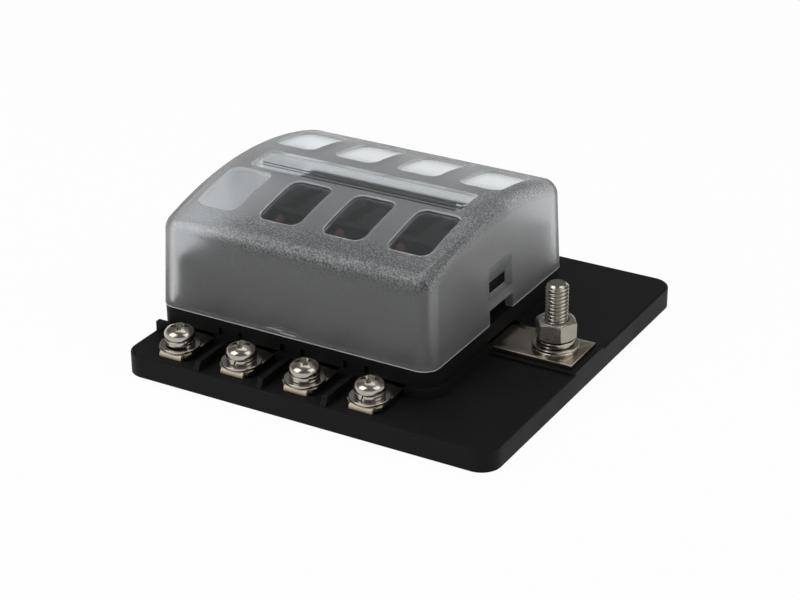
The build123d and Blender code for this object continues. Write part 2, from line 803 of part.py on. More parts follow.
with BuildPart() as indicator_board:
    with BuildSketch(Plane.XY.offset(strip_top)):
        with Locations((columns_x, 0)):
            Rectangle(column_x[-1] - column_x[0] + 2 * board_end, 2 * board_half_width)
        notch_inner = pocket_offset - pocket_width / 2 - moulding_wall - board_clearance
        for side in (-1, 1):
            with Locations(*[(x, side * (notch_inner + board_half_width) / 2) for x in gap_x]):
                Rectangle(
                    pocket_length + 2 * (moulding_wall + board_clearance),
                    board_half_width - notch_inner,
                    mode=Mode.SUBTRACT,
                )
            for y in (inner_blade_y, outer_blade_y):
                with Locations(*[(x, side * y) for x in column_x]):
                    Rectangle(
                        2 * jaw_seat_half + jaw_leaf + 2 * slot_clearance,
                        jaw_width + 2 * slot_clearance,
                        mode=Mode.SUBTRACT,
                    )
    extrude(amount=board_thickness)
indicator_board.part.label = "indicator_board"
export_step(indicator_board.part, "parts/indicator_board.step")


def indicator_lamp(x, y):
    """Round red lamp under the channel floor, on two legs from the board."""
    flange_bottom = channel_floor_top - moulding_wall - lamp_flange_height
    dome_top = flange_bottom + lamp_height
    with BuildPart() as lamp:
        with BuildSketch(Plane((x, y, 0), x_dir=(1, 0, 0), z_dir=(0, -1, 0))):
            with BuildLine():
                Polyline(
                    (0, dome_top),
                    (0, flange_bottom),
                    (lamp_flange_radius, flange_bottom),
                    (lamp_flange_radius, flange_bottom + lamp_flange_height),
                    (lamp_radius, flange_bottom + lamp_flange_height),
                    (lamp_radius, dome_top - lamp_radius),
                )
                RadiusArc((lamp_radius, dome_top - lamp_radius), (0, dome_top), -lamp_radius)
            make_face()
        revolve(axis=Axis((x, y, 0), (0, 0, 1)))
        with BuildSketch(Plane((x, y, board_top))):
            with GridLocations(lamp_leg_pitch, 0, 2, 1):
                Rectangle(lamp_leg, lamp_leg)
        extrude(amount=flange_bottom - board_top)
    return lamp.part


for side_name, side in sides.items():
    for i, x in enumerate(column_x, start=1):
        lamp = indicator_lamp(x, -side * lamp_offset)
        lamp.label = f"indicator_lamp_{side_name}_{i}"
        export_step(lamp, f"parts/{lamp.label}.step")

with BuildPart() as indicator_resistors:
    with BuildSketch(Plane.XY.offset(board_top)):
        for side in (-1, 1):
            with Locations(*[(x + jaw_width, side * (lamp_offset + resistor_width)) for x in column_x]):
                Rectangle(resistor_length, resistor_width)
    extrude(amount=resistor_height)
indicator_resistors.part.label = "indicator_resistors"
export_step(indicator_resistors.part, "parts/indicator_resistors.step")

with BuildPart() as block_screws:
    head_top = block_screw_recess
    for side in (-1, 1):
        for x in (gap_x[0], gap_x[-1]):
            with BuildSketch(Plane((x, side * block_screw_offset, head_top - block_screw_head_height))):
                Circle(block_screw_head_radius)
            extrude(amount=block_screw_head_height)
            with BuildSketch(Plane((x, side * block_screw_offset, head_top))):
                Circle(block_screw_radius)
            extrude(amount=block_screw_length)
block_screws.part.label = "block_screws"
export_step(block_screws.part, "parts/block_screws.step")
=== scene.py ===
import json
import math

import bmesh
import bpy
from mathutils import Matrix, Vector


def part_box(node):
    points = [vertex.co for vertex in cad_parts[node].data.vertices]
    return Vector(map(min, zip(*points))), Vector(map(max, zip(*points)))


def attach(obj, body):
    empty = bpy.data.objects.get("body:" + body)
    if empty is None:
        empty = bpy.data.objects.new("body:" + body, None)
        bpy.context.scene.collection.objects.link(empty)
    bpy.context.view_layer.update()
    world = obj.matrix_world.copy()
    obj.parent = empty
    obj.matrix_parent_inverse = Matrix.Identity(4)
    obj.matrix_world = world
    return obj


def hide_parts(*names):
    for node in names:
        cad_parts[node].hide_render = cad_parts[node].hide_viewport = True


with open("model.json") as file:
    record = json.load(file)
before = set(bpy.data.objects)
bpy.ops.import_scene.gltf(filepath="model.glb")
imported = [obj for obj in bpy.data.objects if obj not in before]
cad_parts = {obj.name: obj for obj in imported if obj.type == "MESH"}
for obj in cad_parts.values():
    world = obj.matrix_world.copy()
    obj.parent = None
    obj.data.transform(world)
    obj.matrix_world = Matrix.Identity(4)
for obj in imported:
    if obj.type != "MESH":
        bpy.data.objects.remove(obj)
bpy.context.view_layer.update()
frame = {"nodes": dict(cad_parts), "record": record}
nodes = frame["nodes"]

MM = 0.001

# Camera, solved from the photograph's 800 x 600 frame, with its angles in degrees
CAMERA_AZIMUTH = 30.05
CAMERA_ELEVATION = 26.17
CAMERA_ROLL = -0.37
CAMERA_DISTANCE = 555.0 * MM
CAMERA_TARGET = Vector((3.02, -8.78, 15.0)) * MM
CAMERA_LENS = 97.11
CAMERA_SENSOR = 36.0
CAMERA_NEAR = 0.01
CAMERA_FAR = 20.0

SIDES = ("front", "rear")
COLUMNS = range(1, 5)

# Cover panes
COVER_LOW, COVER_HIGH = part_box("cover")
HOUSING_X = (COVER_LOW.x + COVER_HIGH.x) / 2
COLUMN_PITCH = 18.66 * MM
COLUMNS_X = HOUSING_X + 0.34 * MM
PANE_HALF = (6.1 * MM, 9.45 * MM)
PANE_OFFSET = 18.65 * MM
PANE_CORNER = 2.8 * MM
PANE_MARGIN = 0.2 * MM
PANE_STEP = 0.07 * MM
PANE_FLOOR = 27.0 * MM
LONG_PANE_HALF = (31.2 * MM, 3.9 * MM)
LONG_PANE_CORNER = 1.6 * MM
LONG_PANE_LEAD = 3.3 * MM
LONG_RIM_HALF_WIDTH = 0.22 * MM
LONG_RIM_INSET = 0.85 * MM
# Length of the painted shade strip along the long pane's front wall
PAINTED_SHADE_HALF_LENGTH = LONG_PANE_HALF[0] - 1.5 * LONG_PANE_CORNER

# Cover shell, which tells its frosted outside from its polished inside
COVER_ARCH_RADIUS = 104.0 * MM
COVER_DRAFT = math.tan(math.radians(2.2))
COVER_ROUND = 4.4 * MM
COVER_WALL = 2.2 * MM
LIP_HEIGHT = 0.4 * MM
LATCH_HALF_WIDTH = 6.6 * MM
LATCH_DEPTH = 6.0 * MM
SCRATCH_PLACES = ((-17.2 * MM, 1.5 * MM, 2.2 * MM), (-13.2 * MM, 0.9 * MM, 2.4 * MM))
SCRATCH_WIDTH = 0.3 * MM

# Where the speckle and the painted shade set in: under the roof, from the walls and from left to right
SPECKLE_AND_SHADE_UNDER_ROOF = (-4.5 * MM, -1.2 * MM)
SPECKLE_AND_SHADE_FROM_WALL = (-11.0 * MM, -6.0 * MM)
SPECKLE_AND_SHADE_FROM_LEFT = (COLUMNS_X - 1.6 * COLUMN_PITCH, COLUMNS_X - 0.6 * COLUMN_PITCH)
SPECKLE_AND_SHADE_AT_LEFT = 0.15

# Looks of the cover
PLASTIC_IOR = 1.49
GLASS_COLOUR = (0.92, 0.955, 0.975, 1)
GLASS_ROUGHNESS = 0.05
GLASS_TRANSMISSION = 0.985
HAZE_ROUGHNESS = 0.26
HAZE_TRANSMISSION = 0.87
# Painted shade: the colour of the dark strip along the long pane's front wall
PAINTED_SHADE_COLOUR = (0.05, 0.05, 0.05, 1)
FROST_ROUGHNESS = (0.42, 0.50)
FROST_SCATTER = 0.08
FROST_LIGHTNESS = 0.60
# Painted shade: how much darker the frost is where the roof nears the walls
EDGE_PAINTED_SHADE = 0.24
SPECKLE_CONTRAST = 0.5
SPECKLE_ELSEWHERE = 0.12
FROST_RELIEF = 0.5
EDGE_RELIEF = 2.2
# Pale lines: painted highlights on the pane steps, the long step and the long patch's rim, a pale lip and
# worn scratches
WEAR_AND_HIGHLIGHT_TRANSMISSION = 0.35
PANE_STEP_HIGHLIGHT = 0.7
LONG_STEP_HIGHLIGHT = 0.5
RIM_HIGHLIGHT = 0.4

# Colours of the materials, darker patches first, and how rough each is from patch to patch
WHITE = (1, 1, 1, 1)
COLOURS = {
    "frost": ((0.26, 0.27, 0.29, 1), WHITE),
    "black_plastic": ((0.0050, 0.0052, 0.0055, 1), (0.0080, 0.0080, 0.0080, 1)),
    "plated_brass": ((0.34, 0.305, 0.245, 1), (0.43, 0.39, 0.315, 1)),
    "plated_steel": ((0.36, 0.335, 0.295, 1), (0.47, 0.44, 0.385, 1)),
    "satin_steel": ((0.31, 0.285, 0.24, 1), (0.40, 0.37, 0.315, 1)),
    "circuit_board": ((0.012, 0.07, 0.03, 1), (0.02, 0.10, 0.045, 1)),
    "red_lamp": ((0.08, 0.003, 0.004, 1), (0.13, 0.004, 0.006, 1)),
    "chip_ceramic": ((0.02, 0.02, 0.02, 1), (0.05, 0.05, 0.05, 1)),
}
CLOUD_RANGE = (0.3, 0.7)
BLACK_ROUGHNESS = (0.46, 0.58)
BLACK_SPECULAR = 0.09
BRASS_ROUGHNESS = (0.12, 0.22)
STEEL_ROUGHNESS = (0.16, 0.26)
SATIN_ROUGHNESS = (0.24, 0.32)
SATIN_METALLIC = 0.8

# Bent tabs of the terminal strips
TAB_FACE = -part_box("terminal_front_1")[0].y
TAB_DEPTH = 1.3 * MM
TAB_FADE = (TAB_FACE - TAB_DEPTH, TAB_FACE - 0.8 * TAB_DEPTH)
TAB_COLOUR = (0.50, 0.44, 0.335, 1)
TAB_ROUGHNESS = 0.55

# Screws, M4, with their turns in degrees
HEAD_RADIUS = 4.0 * MM
HEAD_HEIGHT = 3.0 * MM
HEAD_DOME_HEIGHT = 3.3 * MM
HEAD_SIDE = 0.8 * MM
HEAD_SHOULDER = 1.9 * MM
HEAD_UNDER_ROUND = 0.5 * MM
SCREW_CREST = 1.95 * MM
SCREW_ROOT = 1.55 * MM
SCREW_PITCH = 0.7 * MM
SCREW_TIP = 0.5 * MM
SCREW_TURNS = {"front": (30.0, 26.0, 38.0, 22.0), "rear": (10.0, 55.0, 80.0, 33.0)}
CROSS_HALF_LENGTH = 3.0 * MM
CROSS_HALF_WIDTH = 0.72 * MM
CROSS_WEB = 1.35 * MM
CROSS_DEPTH = 2.0 * MM
CROSS_ABOVE = 0.3 * MM
CROSS_FOOT = 0.3

# Input stud and nut, M6
STUD_CREST = 2.95 * MM
STUD_ROOT = 2.35 * MM
STUD_PITCH = 1.0 * MM
STUD_CHAMFER = 0.8 * MM
STUD_HEAD_RADIUS = 5.0 * MM
STUD_HEAD_HEIGHT = 2.0 * MM
STUD_ROUNDING = 12
NUT_APOTHEM = 4.75 * MM
NUT_CROWN = 4.45 * MM
NUT_SLOPE = math.tan(math.radians(30))
NUT_TURN = 9.0
NUT_BORE = 3.0 * MM
NUT_LEAD = 0.35 * MM
NUT_EDGE = 0.22 * MM
NUT_SOFT = 0.10 * MM
NUT_DIP = 0.2 * NUT_SOFT
HEXAGON_HALF = math.radians(30)

# Washers, with the places of their slits in degrees
WASHER_ROUND = 0.16 * MM
WASHER_BORE = 2.15 * MM
LOCK_HEIGHT = 1.33 * MM
LOCK_EXTRA = {"front": (0.75, 0.35, 0.35, 0.35), "rear": (0.35, 0.35, 0.35, 0.35)}
LOCK_SPREAD = 0.15 * MM
LOCK_SLIT = 0.34 * MM
LOCK_SLANT = 0.35
LOCK_SLITS_AT = {"front": (-29.0, -83.0, 100.0, -89.0), "rear": (70.0, 130.0, 95.0, 40.0)}
INPUT_WASHER_BORE = 3.2 * MM
INPUT_LOCK_SECTION = 0.8
INPUT_LOCK_SLIT_AT = 120.0
RIM_GROOVE = 0.12 * MM

# Meshes
SHARP_ANGLE = math.radians(28)
THREAD_SHARP_ANGLE = math.radians(44)
BEVEL_ANGLE = math.radians(50)
BEVEL_SEGMENTS = 2
EDGE_BEVELS = {"plated_brass": 0.12 * MM}
WELD_GAP = 0.0005 * MM
SHELL_OVERLAP = 0.1 * MM

# Studio: a pale floor, a room that darkens above the horizon, and soft boxes with their
# azimuth, elevation, distance, size and power, in degrees, metres and watts
FLOOR_HALF = 3.0
FLOOR_COLOUR = (0.82, 0.82, 0.82, 1)
FLOOR_GLOW = 0.96
HORIZON = (0.15, 0.28)
ROOM_ABOVE = 0.17
SOFT_BOXES = {
    "left_box": (-35, 42, 0.9, (0.6, 0.7), 4.1),
    "right_box": (95, 42, 0.9, (0.6, 0.7), 2.5),
    "top_box": (200, 70, 1.0, (0.7, 0.5), 1.8),
}


def node(tree, kind, values=None, **settings):
    """Add one shader node, with its settings and its sockets' links or values."""
    made = tree.nodes.new(kind)
    for name, value in settings.items():
        setattr(made, name, value)
    for name, value in (values or {}).items():
        if isinstance(value, bpy.types.NodeSocket):
            tree.links.new(value, made.inputs[name])
        else:
            made.inputs[name].default_value = value
    return made


def calc(tree, operation, *terms):
    """One math node on sockets or numbers."""
    made = node(tree, "ShaderNodeMath", dict(enumerate(terms)), operation=operation)
    return made.outputs[0]


def product(tree, value, *others):
    """Multiply sockets or numbers."""
    for other in others:
        value = calc(tree, "MULTIPLY", value, other)
    return value


def total(tree, value, *others):
    """Add sockets or numbers."""
    for other in others:
        value = calc(tree, "ADD", value, other)
    return value


def distance(tree, value, middle):
    """How far a value is from a middle."""
    return calc(tree, "ABSOLUTE", calc(tree, "SUBTRACT", value, middle))


def hypotenuse(tree, first, second):
    """The long side of a right triangle."""
    squares = total(tree, product(tree, first, first), product(tree, second, second))
    return calc(tree, "SQRT", squares)


def remap(tree, value, low, high, to_low=0.0, to_high=1.0):
    """A clamped change of range."""
    made = node(
        tree,
        "ShaderNodeMapRange",
        {"Value": value, "From Min": low, "From Max": high, "To Min": to_low, "To Max": to_high},
    )
    return made.outputs["Result"]


def blend_colour(tree, share, first, second):
    """Mix two colours by a share."""
    made = node(tree, "ShaderNodeMix", {0: share, 6: first, 7: second}, data_type="RGBA")
    return made.outputs[2]


def blend_value(tree, share, first, second):
    """Mix two numbers or sockets by a share."""
    made = node(tree, "ShaderNodeMix", {0: share, 2: first, 3: second}, data_type="FLOAT")
    return made.outputs[0]


def noise(tree, place, scale, detail, roughness):
    """Noise over the part's own coordinates, with scale in cells per metre."""
    made = node(
        tree,
        "ShaderNodeTexNoise",
        {"Vector": place, "Scale": scale, "Detail": detail, "Roughness": roughness},
    )
    return made.outputs["Fac"]


def cleared_tree(holder):
    """The node tree of a new material or world, emptied."""
    holder.use_nodes = True
    holder.node_tree.nodes.clear()
    return holder.node_tree


def new_material(name):
    """An empty node material, its tree and the part's coordinates in it."""
    made = bpy.data.materials.new(name)
    tree = cleared_tree(made)
    place = node(tree, "ShaderNodeTexCoord").outputs["Object"]
    return made, tree, place


def finish_surface(tree, shader, height=None, depth=0.0, strength=0.0):
    """Connect a shader to the output, with an optional bump."""
    if height is not None:
        bump = node(tree, "ShaderNodeBump", {"Height": height, "Distance": depth, "Strength": strength})
        tree.links.new(bump.outputs["Normal"], shader.inputs["Normal"])
    out = node(tree, "ShaderNodeOutputMaterial")
    tree.links.new(shader.outputs[0], out.inputs["Surface"])


def rounded_field(tree, x, y, half, corner):
    """Signed distance to a rounded rectangle in plan, negative inside."""
    across = calc(tree, "SUBTRACT", calc(tree, "ABSOLUTE", x), half[0] - corner)
    along = calc(tree, "SUBTRACT", calc(tree, "ABSOLUTE", y), half[1] - corner)
    beyond_x = calc(tree, "MAXIMUM", across, 0.0)
    beyond_y = calc(tree, "MAXIMUM", along, 0.0)
    inside = calc(tree, "MINIMUM", calc(tree, "MAXIMUM", across, along), 0.0)
    reach = total(tree, hypotenuse(tree, beyond_x, beyond_y), inside)
    return calc(tree, "SUBTRACT", reach, corner)


def pane_fields(tree, x, y):
    """Signed distances in plan to the nearest clear patch, a small pane, the long step and patch."""
    middle = calc(tree, "SUBTRACT", x, COLUMNS_X)
    shifted = calc(tree, "ADD", middle, COLUMN_PITCH / 2)
    column = calc(tree, "WRAP", shifted, COLUMN_PITCH / 2, -COLUMN_PITCH / 2)
    row = calc(tree, "SUBTRACT", calc(tree, "ABSOLUTE", y), PANE_OFFSET)
    pane = rounded_field(tree, column, row, PANE_HALF, PANE_CORNER)
    long_step = rounded_field(tree, middle, y, LONG_PANE_HALF, LONG_PANE_CORNER)
    long_half = (LONG_PANE_HALF[0], LONG_PANE_HALF[1] + LONG_PANE_LEAD / 2)
    forward = calc(tree, "ADD", y, LONG_PANE_LEAD / 2)
    long_patch = rounded_field(tree, middle, forward, long_half, LONG_PANE_CORNER)
    return calc(tree, "MINIMUM", pane, long_patch), pane, long_step, long_patch


def shell_fields(tree, x, y, z):
    """1 on the outside of the cover's shell, and up to 1 where its roof nears its walls."""
    height = calc(tree, "SUBTRACT", z, COVER_HIGH.z - COVER_ARCH_RADIUS)
    lean = product(tree, calc(tree, "SUBTRACT", z, COVER_LOW.z), COVER_DRAFT)
    half_length = (COVER_HIGH.x - COVER_LOW.x) / 2
    from_roof = calc(tree, "SUBTRACT", hypotenuse(tree, y, height), COVER_ARCH_RADIUS)
    from_side = total(tree, calc(tree, "SUBTRACT", calc(tree, "ABSOLUTE", y), COVER_HIGH.y), lean)
    from_end = total(tree, calc(tree, "SUBTRACT", distance(tree, x, HOUSING_X), half_length), lean)
    squares = 0.0
    for field in (from_roof, from_side, from_end):
        inside = calc(tree, "MAXIMUM", calc(tree, "ADD", field, COVER_ROUND), 0.0)
        squares = total(tree, product(tree, inside, inside), squares)
    skin = COVER_ROUND - COVER_WALL / 2
    in_latch = product(
        tree,
        calc(tree, "LESS_THAN", calc(tree, "ABSOLUTE", y), LATCH_HALF_WIDTH),
        calc(tree, "GREATER_THAN", from_end, -LATCH_DEPTH),
    )
    outside = calc(tree, "MAXIMUM", calc(tree, "GREATER_THAN", squares, skin * skin), in_latch)
    near_roof = remap(tree, from_roof, *SPECKLE_AND_SHADE_UNDER_ROOF)
    near_wall = remap(tree, calc(tree, "MAXIMUM", from_side, from_end), *SPECKLE_AND_SHADE_FROM_WALL)
    rightward = remap(tree, x, *SPECKLE_AND_SHADE_FROM_LEFT, SPECKLE_AND_SHADE_AT_LEFT, 1.0)
    return outside, product(tree, near_roof, near_wall, rightward)


def scratch_field(tree, x, y, z):
    """1 on the two short scratches over the cover's front lip."""
    marks = 0.0
    for middle, height, half in SCRATCH_PLACES:
        along = calc(tree, "LESS_THAN", distance(tree, x, middle), half)
        across = remap(tree, distance(tree, z, COVER_LOW.z + height), SCRATCH_WIDTH, 0.0)
        marks = total(tree, product(tree, along, across), marks)
    return product(tree, marks, calc(tree, "LESS_THAN", y, 0.0))


def frosted_plastic():
    """Clear moulding with a frosted outside, clear panes, pale steps with painted highlights, a pale lip,
    painted shade at the roof's margins and a dark strip of painted shade.
    """
    made, tree, place = new_material("frosted_plastic")
    x, y, z = node(tree, "ShaderNodeSeparateXYZ", {"Vector": place}).outputs
    nearest, pane_step, long_step, long_patch = pane_fields(tree, x, y)
    outside, edges = shell_fields(tree, x, y, z)
    on_roof = calc(tree, "GREATER_THAN", z, PANE_FLOOR)
    in_front = calc(tree, "LESS_THAN", y, 0.0)
    pane = product(tree, remap(tree, nearest, PANE_MARGIN, PANE_MARGIN / 2), on_roof)
    frosted = product(tree, outside, calc(tree, "SUBTRACT", 1.0, pane))

    # The left front pane is slightly hazy, and a dark strip of painted shade runs along the long pane's
    # front wall
    at_left = calc(tree, "LESS_THAN", x, COLUMNS_X - COLUMN_PITCH)
    hazy = product(tree, at_left, in_front, calc(tree, "LESS_THAN", pane_step, 0.0))
    on_run = calc(tree, "LESS_THAN", distance(tree, x, COLUMNS_X), PAINTED_SHADE_HALF_LENGTH)
    from_step = calc(tree, "ABSOLUTE", long_step)
    at_wall = remap(tree, from_step, 3 * PANE_STEP, 2 * PANE_STEP)
    painted_shade = product(tree, at_wall, in_front, on_run, on_roof)

    # Pale lines: painted highlights on the steps of the panes, on the rear of the long step and on the
    # long patch's rim, the pale lip, and the scratches, which are wear
    from_pane = calc(tree, "ABSOLUTE", pane_step)
    at_pane = remap(tree, from_pane, 2 * PANE_STEP, PANE_STEP, 0.0, PANE_STEP_HIGHLIGHT)
    at_rear = calc(tree, "MULTIPLY_ADD", in_front, -LONG_STEP_HIGHLIGHT, LONG_STEP_HIGHLIGHT)
    at_long = product(tree, remap(tree, from_step, 2 * PANE_STEP, PANE_STEP), at_rear)
    from_rim = calc(tree, "ABSOLUTE", calc(tree, "ADD", long_patch, LONG_RIM_INSET))
    rim = remap(tree, from_rim, LONG_RIM_HALF_WIDTH, LONG_RIM_HALF_WIDTH / 2, 0.0, RIM_HIGHLIGHT)
    rim = product(tree, rim, calc(tree, "LESS_THAN", y, -LONG_PANE_HALF[1]))
    lines = product(tree, total(tree, at_pane, at_long, rim), on_roof)
    lip = remap(tree, z, COVER_LOW.z + LIP_HEIGHT, COVER_LOW.z + LIP_HEIGHT / 2)
    wear_and_highlight = calc(tree, "MINIMUM", total(tree, lip, lines, scratch_field(tree, x, y, z)), 1.0)

    # Frost with a fine grain and slow clouds, and speckle and painted shade that are strongest at the
    # roof's margins
    grain = noise(tree, place, scale=3400.0, detail=2.0, roughness=0.7)
    cloud = noise(tree, place, scale=60.0, detail=3.0, roughness=0.6)
    speckle = noise(tree, place, scale=2600.0, detail=1.0, roughness=0.5)
    speckle = remap(tree, speckle, 0.42, 0.58, to_low=-1.0, to_high=1.0)
    amount = calc(tree, "MULTIPLY_ADD", edges, 1.0 - SPECKLE_ELSEWHERE, SPECKLE_ELSEWHERE)
    speckle = product(tree, speckle, amount)
    # Painted shade: the frost is darker where the roof nears the walls
    lightness = calc(tree, "MULTIPLY_ADD", edges, -EDGE_PAINTED_SHADE, FROST_LIGHTNESS)
    lightness = calc(tree, "MULTIPLY_ADD", speckle, SPECKLE_CONTRAST, lightness)
    scatter = calc(tree, "MULTIPLY_ADD", speckle, FROST_SCATTER, FROST_SCATTER)

    # Painted shade: the strip along the long pane's front wall is dark and lets no light through
    glass = blend_colour(tree, painted_shade, GLASS_COLOUR, PAINTED_SHADE_COLOUR)
    glass_roughness = blend_value(tree, hazy, GLASS_ROUGHNESS, HAZE_ROUGHNESS)
    glass_clear = blend_value(tree, hazy, GLASS_TRANSMISSION, HAZE_TRANSMISSION)
    frost = blend_colour(tree, lightness, *COLOURS["frost"])
    frost_roughness = remap(tree, cloud, *CLOUD_RANGE, *FROST_ROUGHNESS)
    frost_clear = calc(tree, "SUBTRACT", 1.0, scatter)
    clear = blend_value(tree, painted_shade, blend_value(tree, frosted, glass_clear, frost_clear), 0.0)
    shader = node(
        tree,
        "ShaderNodeBsdfPrincipled",
        {
            "Base Color": blend_colour(tree, frosted, glass, frost),
            "Roughness": blend_value(tree, frosted, glass_roughness, frost_roughness),
            # Less clear where the painted highlights, the pale lip and the scratches are
            "Transmission Weight": blend_value(tree, wear_and_highlight, clear, WEAR_AND_HIGHLIGHT_TRANSMISSION),
            "IOR": PLASTIC_IOR,
        },
    )
    relief = product(tree, frosted, calc(tree, "MULTIPLY_ADD", edges, EDGE_RELIEF, FROST_RELIEF))
    finish_surface(tree, shader, product(tree, grain, relief), depth=0.03 * MM, strength=0.6)
    return made


def black_plastic():
    """Semi-matt black moulding with a fine grain and slight flow clouds."""
    made, tree, place = new_material("black_plastic")
    grain = noise(tree, place, scale=2200.0, detail=2.0, roughness=0.6)
    cloud = noise(tree, place, scale=45.0, detail=4.0, roughness=0.6)
    shader = node(
        tree,
        "ShaderNodeBsdfPrincipled",
        {
            "Base Color": blend_colour(tree, cloud, *COLOURS["black_plastic"]),
            "Roughness": remap(tree, cloud, *CLOUD_RANGE, *BLACK_ROUGHNESS),
            "Specular IOR Level": BLACK_SPECULAR,
        },
    )
    finish_surface(tree, shader, grain, depth=0.03 * MM, strength=0.35)
    return made


def plated_metal(name, gloss, grain_scale=900.0, stretch=(1, 1, 1), metallic=1.0, matt_tabs=False):
    """Nickel plate with faint stains and rolling marks, and matt tabs where asked for."""
    made, tree, place = new_material(name)
    stretched = node(tree, "ShaderNodeMapping", {"Vector": place, "Scale": stretch}).outputs[0]
    grain = noise(tree, stretched, grain_scale, detail=3.0, roughness=0.6)
    cloud = noise(tree, place, scale=160.0, detail=3.0, roughness=0.6)
    colour = blend_colour(tree, remap(tree, cloud, *CLOUD_RANGE), *COLOURS[name])
    roughness = remap(tree, cloud, *CLOUD_RANGE, *gloss)
    if matt_tabs:
        y = node(tree, "ShaderNodeSeparateXYZ", {"Vector": place}).outputs["Y"]
        on_tab = remap(tree, calc(tree, "ABSOLUTE", y), *TAB_FADE)
        colour = blend_colour(tree, on_tab, colour, TAB_COLOUR)
        roughness = blend_value(tree, on_tab, roughness, TAB_ROUGHNESS)
    shader = node(
        tree,
        "ShaderNodeBsdfPrincipled",
        {"Base Color": colour, "Metallic": metallic, "Roughness": roughness},
    )
    finish_surface(tree, shader, grain, depth=0.02 * MM, strength=0.2)
    return made


def circuit_board():
    """Green solder mask."""
    made, tree, place = new_material("circuit_board")
    cloud = noise(tree, place, scale=300.0, detail=3.0, roughness=0.6)
    colour = blend_colour(tree, cloud, *COLOURS["circuit_board"])
    shader = node(tree, "ShaderNodeBsdfPrincipled", {"Base Color": colour, "Roughness": 0.35})
    finish_surface(tree, shader, cloud, depth=0.02 * MM, strength=0.2)
    return made


def red_lamp():
    """Clear red resin."""
    made, tree, place = new_material("red_lamp")
    cloud = noise(tree, place, scale=400.0, detail=2.0, roughness=0.5)
    colour = blend_colour(tree, cloud, *COLOURS["red_lamp"])
    shader = node(
        tree,
        "ShaderNodeBsdfPrincipled",
        {"Base Color": colour, "Roughness": 0.2, "Transmission Weight": 0.3, "IOR": 1.52},
    )
    finish_surface(tree, shader)
    return made


def chip_ceramic():
    """Black body of a chip resistor."""
    made, tree, place = new_material("chip_ceramic")
    cloud = noise(tree, place, scale=900.0, detail=2.0, roughness=0.5)
    colour = blend_colour(tree, cloud, *COLOURS["chip_ceramic"])
    shader = node(tree, "ShaderNodeBsdfPrincipled", {"Base Color": colour, "Roughness": 0.4})
    finish_surface(tree, shader)
    return made


MATERIALS = {
    "black_plastic": black_plastic(),
    "frosted_plastic": frosted_plastic(),
    "plated_brass": plated_metal(
        "plated_brass", BRASS_ROUGHNESS, grain_scale=1400.0, stretch=(1, 0.15, 1), matt_tabs=True
    ),
    "plated_steel": plated_metal("plated_steel", STEEL_ROUGHNESS),
    "satin_steel": plated_metal("satin_steel", SATIN_ROUGHNESS, metallic=SATIN_METALLIC),
    "circuit_board": circuit_board(),
    "red_lamp": red_lamp(),
    "chip_ceramic": chip_ceramic(),
}
SLOTS = {row["node"]: row["material_slot"] for row in frame["record"]["subparts"]}


def dress_nodes():
    """Give each node of the frame its material, with softened edges on the stamped metal."""
    for name, piece in nodes.items():
        piece.data.materials.clear()
        piece.data.materials.append(MATERIALS[SLOTS[name]])
        piece.data.shade_smooth()
        if SLOTS[name] in EDGE_BEVELS:
            weld = piece.modifiers.new("weld", "WELD")
            weld.merge_threshold = WELD_GAP
            bevel = piece.modifiers.new("bevel", "BEVEL")
            bevel.width = EDGE_BEVELS[SLOTS[name]]
            bevel.segments = BEVEL_SEGMENTS
            bevel.limit_method = "ANGLE"
            bevel.angle_limit = BEVEL_ANGLE
        split = piece.modifiers.new("edges", "EDGE_SPLIT")
        split.split_angle = SHARP_ANGLE


def finish_mesh(name, vertices, faces, sharp=SHARP_ANGLE):
    """A mesh without doubled points, with its faces turned outwards and smooth up to sharp edges."""
    mesh = bpy.data.meshes.new(name)
    mesh.from_pydata(vertices, [], faces)
    work = bmesh.new()
    work.from_mesh(mesh)
    bmesh.ops.remove_doubles(work, verts=work.verts, dist=WELD_GAP)
    bmesh.ops.recalc_face_normals(work, faces=work.faces)
    work.to_mesh(mesh)
    work.free()
    mesh.shade_smooth()
    mesh.set_sharp_from_angle(angle=sharp)
    return mesh


def joined_mesh(name, *parts, sharp=SHARP_ANGLE):
    """One mesh from several closed shells."""
    work = bmesh.new()
    for part in parts:
        work.from_mesh(part)
    mesh = bpy.data.meshes.new(name)
    work.to_mesh(mesh)
    work.free()
    mesh.shade_smooth()
    mesh.set_sharp_from_angle(angle=sharp)
    return mesh


def stand_for(node_name, body, mesh, centre, turn=0.0, finish=None):
    """Let a mesh piece stand for a node of the frame, and ride on its body."""
    mesh = mesh.copy()
    mesh.transform(Matrix.Translation(centre) @ Matrix.Rotation(math.radians(turn), 4, "Z"))
    mesh.materials.append(MATERIALS[finish or SLOTS[node_name]])
    piece = bpy.data.objects.new(f"{node_name}_formed", mesh)
    bpy.context.scene.collection.objects.link(piece)
    even = piece.modifiers.new("even shading", "WEIGHTED_NORMAL")
    even.keep_sharp = True
    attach(piece, body)
    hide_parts(node_name)


def grid_faces(rows, columns, rows_closed=False):
    """Four-sided faces over a grid of points that is stored row by row, with closed rows."""
    faces = []
    for m in range(rows if rows_closed else rows - 1):
        for j in range(columns):
            below, above = m * columns, ((m + 1) % rows) * columns
            after = (j + 1) % columns
            faces.append((below + j, below + after, above + after, above + j))
    return faces


def round_point(radius, angle, height):
    """A point from its radius, angle and height."""
    return (radius * math.cos(angle), radius * math.sin(angle), height)


def turned_mesh(name, profile, steps=96):
    """A closed solid turned from a profile of (radius, height) points between two points on the axis."""
    vertices = []
    for radius, height in profile:
        for j in range(steps):
            vertices.append(round_point(radius, math.tau * j / steps, height))
    return finish_mesh(name, vertices, grid_faces(len(profile), steps))


def arc_points(centre, radius, start, end, steps):
    """Points of an arc in the (radius, height) plane, between two angles in degrees."""
    points = []
    for step in range(steps + 1):
        angle = math.radians(start + (end - start) * step / steps)
        points.append((centre[0] + radius * math.cos(angle), centre[1] + radius * math.sin(angle)))
    return points


